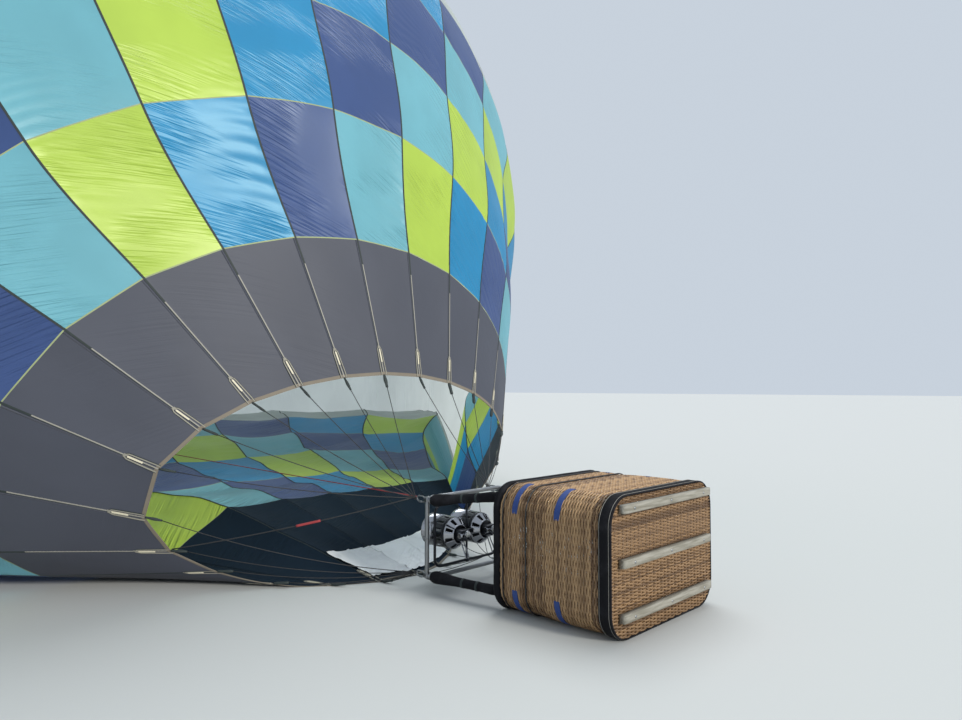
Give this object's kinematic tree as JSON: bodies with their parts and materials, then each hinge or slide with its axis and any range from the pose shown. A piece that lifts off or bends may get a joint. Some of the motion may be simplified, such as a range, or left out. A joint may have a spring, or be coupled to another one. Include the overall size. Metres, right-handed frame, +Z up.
{
  "type": "hot air balloon",
  "caption": "Hot air balloon on its side during cold inflation: gored envelope with open mouth, parachute vent, twin burner on a gimbal, and a wicker basket.",
  "frame": {"origin": "on the ground, under the middle of the whole balloon as it lies", "axes": "+X from the crown to the basket, +Y across, +Z up"},
  "size_m": [16.2378, 14.3816, 10.5949],
  "materials": {
    "cloth_teal": "satin coated nylon, teal",
    "cloth_lime": "satin coated nylon, lime",
    "cloth_blue": "satin coated nylon, blue",
    "cloth_navy": "satin coated nylon, navy",
    "cloth_grey": "matt heat-resistant cloth, bluish grey",
    "cloth_white": "satin coated nylon, white",
    "tape": "woven load tape",
    "steel": "brushed stainless steel",
    "brass": "machined and plated brass",
    "aluminium": "brushed aluminium",
    "wire": "steel wire in a dark sleeve",
    "black_hide": "black grained hide",
    "wicker": "varnished woven willow and cane",
    "wood": "pale worn ash runner"
  },
  "bodies": {
    "root": {"mouth_band": "cloth_grey", "mouth_apron": "cloth_white", "gore_01": "cloth_teal", "gore_02": "cloth_lime", "gore_03": "cloth_blue", "gore_04": "cloth_navy", "gore_05": "cloth_teal", "gore_06": "cloth_lime", "gore_07": "cloth_blue", "gore_08": "cloth_navy", "gore_09": "cloth_teal", "gore_10": "cloth_lime", "gore_11": "cloth_blue", "gore_12": "cloth_navy", "gore_13": "cloth_teal", "gore_14": "cloth_lime", "gore_15": "cloth_blue", "gore_16": "cloth_navy", "gore_17": "cloth_teal", "gore_18": "cloth_lime", "gore_19": "cloth_blue", "gore_20": "cloth_navy", "gore_21": "cloth_teal", "gore_22": "cloth_lime", "gore_23": "cloth_blue", "gore_24": "cloth_navy", "crown_tapes": "tape", "burner_frame": "steel", "karabiner_near_top": "steel", "flying_wires_near_top": "wire", "pole_near_top": "black_hide", "karabiner_far_top": "steel", "flying_wires_far_top": "wire", "pole_far_top": "black_hide", "karabiner_near_low": "steel", "flying_wires_near_low": "wire", "pole_near_low": "black_hide", "karabiner_far_low": "steel", "flying_wires_far_low": "wire", "pole_far_low": "black_hide", "basket_wall": "wicker", "basket_floor": "wicker", "basket_rim": "black_hide", "base_hide": "black_hide", "runner_1": "wood", "runner_2": "wood", "runner_3": "wood", "fuel_tank_1": "aluminium", "fuel_tank_2": "aluminium", "fuel_tank_3": "aluminium", "fuel_tank_4": "aluminium"},
    "gimbal": {"gimbal_ring": "steel"},
    "burners": {"burner_bar": "steel", "burner_block_1": "brass", "burner_coil_1": "steel", "burner_can_1": "steel", "burner_block_2": "brass", "burner_coil_2": "steel", "burner_can_2": "steel"},
    "vent": {"parachute_valve": "cloth_white"}
  },
  "joints": [
    {"name": "gimbal_tilt", "type": "hinge", "parent": "root", "child": "gimbal", "pos_m": [6.2085, 0.225, 0.46], "axis": [0, 1, 0], "range_deg": [-8, 8]},
    {"name": "burner_tilt", "type": "hinge", "parent": "gimbal", "child": "burners", "pos_m": [6.2085, 0.225, 0.46], "axis": [0, 0, 1], "range_deg": [-8, 8]},
    {"name": "vent_slide", "type": "slide", "parent": "root", "child": "vent", "axis": [1, 0, 0], "range_m": [0, 1.2]}
  ]
}
